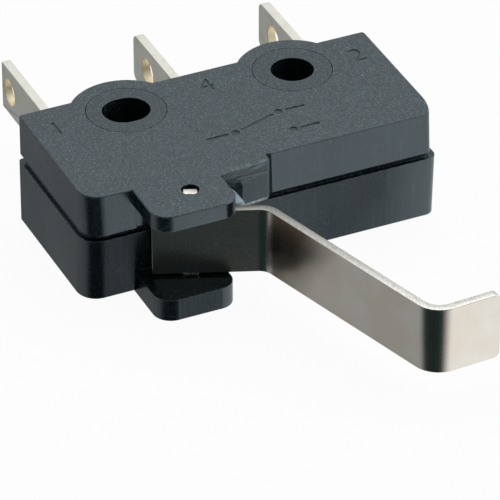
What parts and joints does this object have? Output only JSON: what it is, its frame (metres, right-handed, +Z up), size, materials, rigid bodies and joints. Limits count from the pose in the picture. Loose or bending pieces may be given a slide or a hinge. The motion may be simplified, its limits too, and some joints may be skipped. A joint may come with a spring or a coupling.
{
  "type": "micro switch",
  "caption": "Subminiature snap-action changeover switch with a bent hinge lever, blade terminals and mounting holes through its flat case.",
  "frame": {"origin": "on the axis of the round mounting hole, at the lower face of the case", "axes": "+X along the case towards the normally closed terminal, +Y out of the back along the blades, +Z up through the thickness"},
  "size_m": [0.0199, 0.0317, 0.0064],
  "materials": {
    "case_plastic": "fine matte grain",
    "cover_plastic": "fine matte grain",
    "lever_steel": "rolled strip, blanked edges",
    "plunger_plastic": "smooth moulded",
    "blade_metal": "silver plated brass",
    "contact_silver": "silver alloy rivet",
    "arm_bronze": "copper alloy strip",
    "spring_steel": "drawn wire"
  },
  "bodies": {
    "case": {"base_case": "case_plastic", "cover": "cover_plastic", "common_terminal": "blade_metal", "normally_open_terminal": "blade_metal", "normally_closed_terminal": "blade_metal", "normally_open_contact": "contact_silver", "normally_closed_contact": "contact_silver"},
    "lever": {"actuator_lever": "lever_steel"},
    "plunger": {"plunger": "plunger_plastic"},
    "auxiliary_lever": {"auxiliary_lever": "arm_bronze", "tension_spring": "spring_steel"},
    "contact_arm": {"contact_arm": "arm_bronze", "moving_contact": "contact_silver"}
  },
  "joints": [
    {"name": "lever_hinge", "type": "hinge", "parent": "case", "child": "lever", "pos_m": [-0.00953, -0.00822, 0.0033], "axis": [0, 0, 1], "range_deg": [0, 16], "stiffness_Nm_per_rad": 0.035, "springref_deg": -6.88, "deforming": ["tension_spring"]},
    {"name": "plunger_slide", "type": "slide", "parent": "case", "child": "plunger", "axis": [0, 1, 0], "range_m": [0, 0.000678]},
    {"name": "auxiliary_hinge", "type": "hinge", "parent": "case", "child": "auxiliary_lever", "pos_m": [-0.0111, -0.0048, 0.0032], "axis": [0, 0, 1], "range_deg": [0, 9.68]},
    {"name": "contact_arm_hinge", "type": "hinge", "parent": "case", "child": "contact_arm", "pos_m": [-0.01213, -0.00412, 0.0032], "axis": [0, 0, 1], "range_deg": [0, 1.95]}
  ],
  "couplings": [
    {"joint": "plunger_slide", "follows": "lever_hinge", "m_per_rad": 0.0024284},
    {"joint": "auxiliary_hinge", "follows": "lever_hinge", "ratio": 0.6042},
    {"joint": "contact_arm_hinge", "follows": "lever_hinge", "ratio": 0.1213}
  ]
}
